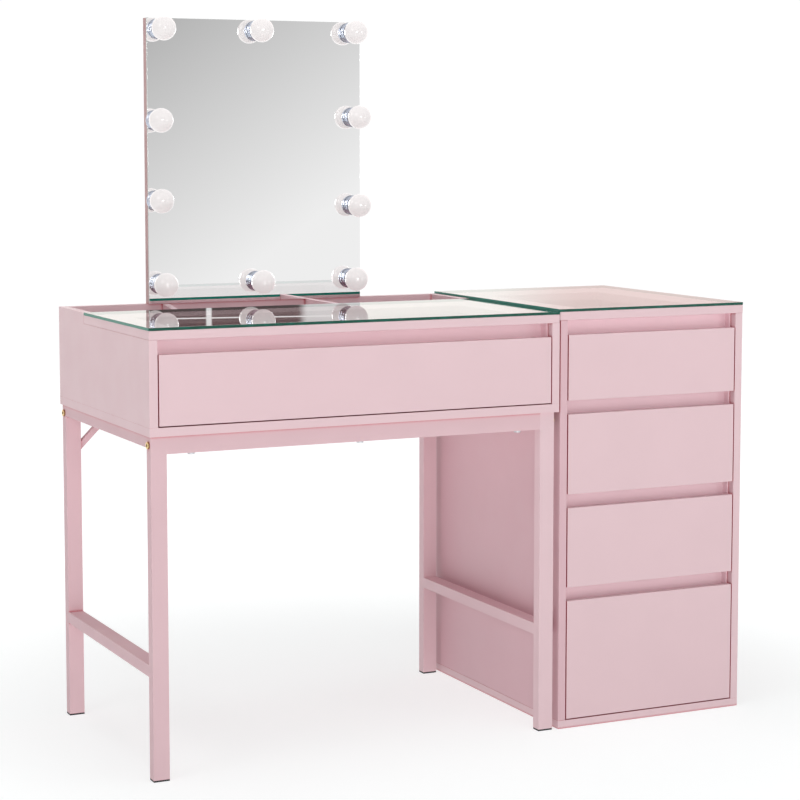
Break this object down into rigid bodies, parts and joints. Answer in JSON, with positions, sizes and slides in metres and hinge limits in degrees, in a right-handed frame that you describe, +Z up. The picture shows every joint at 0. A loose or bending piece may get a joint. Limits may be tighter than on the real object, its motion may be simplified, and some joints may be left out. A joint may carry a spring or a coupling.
{
  "type": "vanity table",
  "caption": "Pink vanity desk with glass top, steel legs, a drawer chest beside it and an upright mirror ringed by globe bulbs.",
  "frame": {"origin": "middle of the footprint, on the floor", "axes": "+X towards the chest, on the right of someone facing the front; front faces -Y; +Z up"},
  "size_m": [1.162, 0.505, 1.2905],
  "materials": {
    "pink_board": "satin lacquered board",
    "drawer_board": "matt foil-faced board",
    "pink_metal": "satin powder coat",
    "top_glass": "clear, ground edges",
    "mirror": "polished",
    "bulb_globe": "opal, glossy",
    "socket_chrome": "polished",
    "brass": "polished",
    "steel": "zinc plated",
    "black_plastic": "matt moulded",
    "cable_rubber": "matt"
  },
  "bodies": {
    "root": {"desk_side_left": "pink_board", "desk_side_right": "pink_board", "desk_back_panel": "pink_board", "desk_bottom_panel": "pink_board", "desk_top_frame": "pink_board", "desk_glass_top": "top_glass", "trough_wall": "pink_board", "trough_divider": "pink_board", "trough_gusset": "pink_board", "chest_side_left": "pink_board", "chest_side_right": "pink_board", "chest_back_panel": "pink_board", "chest_bottom_panel": "pink_board", "chest_top_frame": "pink_board", "chest_glass_top": "top_glass", "recess_rails": "pink_board", "left_side_frame": "pink_metal", "right_side_frame": "pink_metal", "front_apron": "pink_metal", "rear_apron": "pink_metal", "corner_braces": "pink_metal", "apron_bolts": "brass", "desk_mount_screws": "steel", "feet": "black_plastic", "slide_outers": "steel", "mirror_glass": "mirror", "mirror_backboard": "pink_board", "mirror_rear_cover": "pink_board", "wiring_loom": "cable_rubber", "bulb_sockets": "socket_chrome", "bulbs": "bulb_globe", "mirror_straps": "steel", "strap_screws": "steel", "power_inlet": "black_plastic"},
    "desk_drawer": {"desk_drawer_front": "pink_board", "desk_drawer_walls": "drawer_board", "desk_drawer_bottom": "drawer_board", "desk_slide_inners": "steel"},
    "desk_slides": {"desk_slide_middles": "steel"},
    "top_drawer": {"top_drawer_front": "pink_board", "top_drawer_walls": "drawer_board", "top_drawer_bottom": "drawer_board", "top_slide_inners": "steel"},
    "top_slides": {"top_slide_middles": "steel"},
    "upper_drawer": {"upper_drawer_front": "pink_board", "upper_drawer_walls": "drawer_board", "upper_drawer_bottom": "drawer_board", "upper_slide_inners": "steel"},
    "upper_slides": {"upper_slide_middles": "steel"},
    "lower_drawer": {"lower_drawer_front": "pink_board", "lower_drawer_walls": "drawer_board", "lower_drawer_bottom": "drawer_board", "lower_slide_inners": "steel"},
    "lower_slides": {"lower_slide_middles": "steel"},
    "bottom_drawer": {"bottom_drawer_front": "pink_board", "bottom_drawer_walls": "drawer_board", "bottom_drawer_bottom": "drawer_board", "bottom_slide_inners": "steel"},
    "bottom_slides": {"bottom_slide_middles": "steel"}
  },
  "joints": [
    {"name": "desk_drawer_opens", "type": "slide", "parent": "root", "child": "desk_drawer", "axis": [0, -1, 0], "range_m": [0, 0.28]},
    {"name": "desk_slides_extend", "type": "slide", "parent": "root", "child": "desk_slides", "axis": [0, -1, 0], "range_m": [0, 0.14]},
    {"name": "top_drawer_opens", "type": "slide", "parent": "root", "child": "top_drawer", "axis": [0, -1, 0], "range_m": [0, 0.38]},
    {"name": "top_slides_extend", "type": "slide", "parent": "root", "child": "top_slides", "axis": [0, -1, 0], "range_m": [0, 0.19]},
    {"name": "upper_drawer_opens", "type": "slide", "parent": "root", "child": "upper_drawer", "axis": [0, -1, 0], "range_m": [0, 0.38]},
    {"name": "upper_slides_extend", "type": "slide", "parent": "root", "child": "upper_slides", "axis": [0, -1, 0], "range_m": [0, 0.19]},
    {"name": "lower_drawer_opens", "type": "slide", "parent": "root", "child": "lower_drawer", "axis": [0, -1, 0], "range_m": [0, 0.38]},
    {"name": "lower_slides_extend", "type": "slide", "parent": "root", "child": "lower_slides", "axis": [0, -1, 0], "range_m": [0, 0.19]},
    {"name": "bottom_drawer_opens", "type": "slide", "parent": "root", "child": "bottom_drawer", "axis": [0, -1, 0], "range_m": [0, 0.38]},
    {"name": "bottom_slides_extend", "type": "slide", "parent": "root", "child": "bottom_slides", "axis": [0, -1, 0], "range_m": [0, 0.19]}
  ],
  "couplings": [
    {"joint": "desk_slides_extend", "follows": "desk_drawer_opens", "ratio": 0.5},
    {"joint": "top_slides_extend", "follows": "top_drawer_opens", "ratio": 0.5},
    {"joint": "upper_slides_extend", "follows": "upper_drawer_opens", "ratio": 0.5},
    {"joint": "lower_slides_extend", "follows": "lower_drawer_opens", "ratio": 0.5},
    {"joint": "bottom_slides_extend", "follows": "bottom_drawer_opens", "ratio": 0.5}
  ]
}
